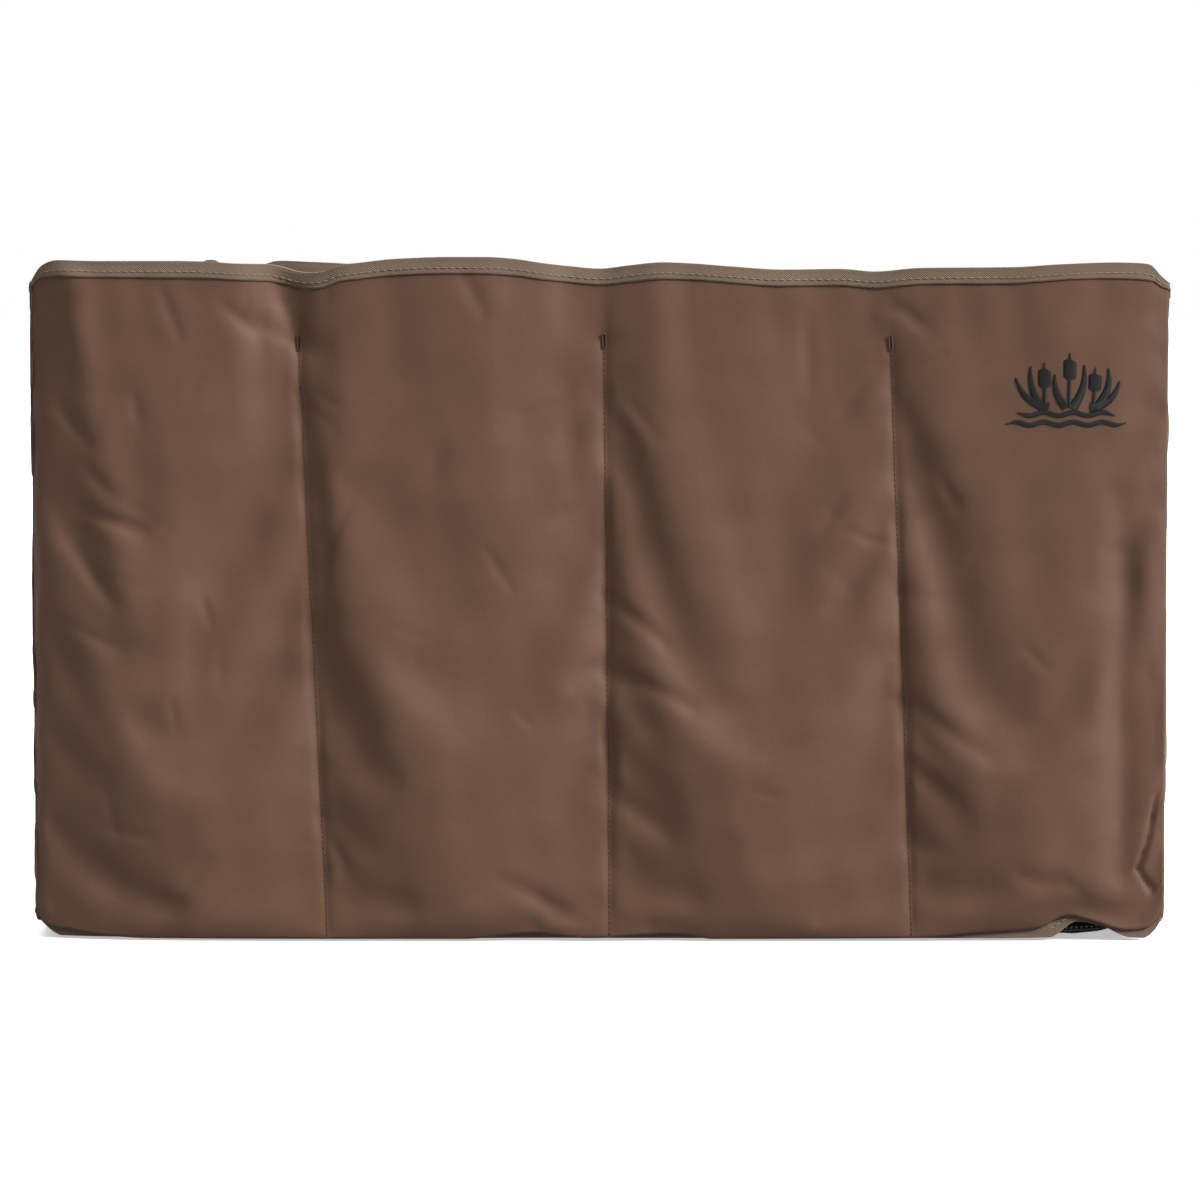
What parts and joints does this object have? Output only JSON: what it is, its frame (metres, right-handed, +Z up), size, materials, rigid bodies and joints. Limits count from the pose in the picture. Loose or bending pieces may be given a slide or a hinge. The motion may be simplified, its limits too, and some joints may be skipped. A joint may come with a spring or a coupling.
{
  "type": "slotted decoy bag",
  "caption": "Open-topped brown cloth bag with bound edges, sewn-in slot dividers, a mesh bottom, webbing end handles and strap rings.",
  "frame": {"origin": "on the floor, under the middle of the bag", "axes": "+X to the right along the long side seen from the front, +Y to the back, +Z up; the front panel with the embroidery faces -Y"},
  "size_m": [0.735, 0.533, 0.419],
  "materials": {
    "brown_cloth": "coated polyester twill, soft sheen",
    "divider_cloth": "thin coated polyester, dull",
    "binding_tape": "herringbone tape, matt",
    "black_mesh": "open polyester mesh, coated",
    "black_webbing": "woven polypropylene, dull",
    "wrap_cloth": "padded polyester, dull",
    "ring_metal": "black plated, satin",
    "black_thread": "satin stitch, glossy thread",
    "brown_thread": "polyester thread"
  },
  "bodies": {
    "root": {"front_panel": "brown_cloth", "back_panel": "brown_cloth", "left_end_panel": "brown_cloth", "right_end_panel": "brown_cloth", "bottom_mesh": "black_mesh", "top_binding_front": "binding_tape", "top_binding_back": "binding_tape", "top_binding_left": "binding_tape", "top_binding_right": "binding_tape", "bottom_binding_front": "binding_tape", "bottom_binding_back": "binding_tape", "bottom_binding_left": "binding_tape", "bottom_binding_right": "binding_tape", "corner_tape_front_left": "binding_tape", "corner_tape_front_right": "binding_tape", "corner_tape_back_left": "binding_tape", "corner_tape_back_right": "binding_tape", "lengthwise_divider_front": "divider_cloth", "lengthwise_divider_back": "divider_cloth", "cross_divider_left_front": "divider_cloth", "cross_divider_left_middle": "divider_cloth", "cross_divider_left_back": "divider_cloth", "cross_divider_centre_front": "divider_cloth", "cross_divider_centre_middle": "divider_cloth", "cross_divider_centre_back": "divider_cloth", "cross_divider_right_front": "divider_cloth", "cross_divider_right_middle": "divider_cloth", "cross_divider_right_back": "divider_cloth", "divider_bar_tacks": "brown_thread", "embroidered_mark": "black_thread", "bottom_webbing_front": "black_webbing", "left_riser_front": "black_webbing", "right_riser_front": "black_webbing", "bottom_webbing_back": "black_webbing", "left_riser_back": "black_webbing", "right_riser_back": "black_webbing", "left_ring_tab": "black_webbing", "right_ring_tab": "black_webbing"},
    "left_handle": {"left_handle_strap": "black_webbing", "left_handle_wrap": "wrap_cloth"},
    "left_ring": {"left_ring": "ring_metal"},
    "right_handle": {"right_handle_strap": "black_webbing", "right_handle_wrap": "wrap_cloth"},
    "right_ring": {"right_ring": "ring_metal"}
  },
  "joints": [
    {"name": "left_handle_swing", "type": "hinge", "parent": "root", "child": "left_handle", "pos_m": [-0.3593, 0, 0.255], "axis": [0, 1, 0], "range_deg": [0, 150]},
    {"name": "left_ring_swing", "type": "hinge", "parent": "root", "child": "left_ring", "pos_m": [-0.35925, 0, 0.383], "axis": [0, 1, 0], "range_deg": [0, 150]},
    {"name": "right_handle_swing", "type": "hinge", "parent": "root", "child": "right_handle", "pos_m": [0.3593, 0, 0.255], "axis": [0, -1, 0], "range_deg": [0, 150]},
    {"name": "right_ring_swing", "type": "hinge", "parent": "root", "child": "right_ring", "pos_m": [0.35925, 0, 0.383], "axis": [0, -1, 0], "range_deg": [0, 150]}
  ]
}
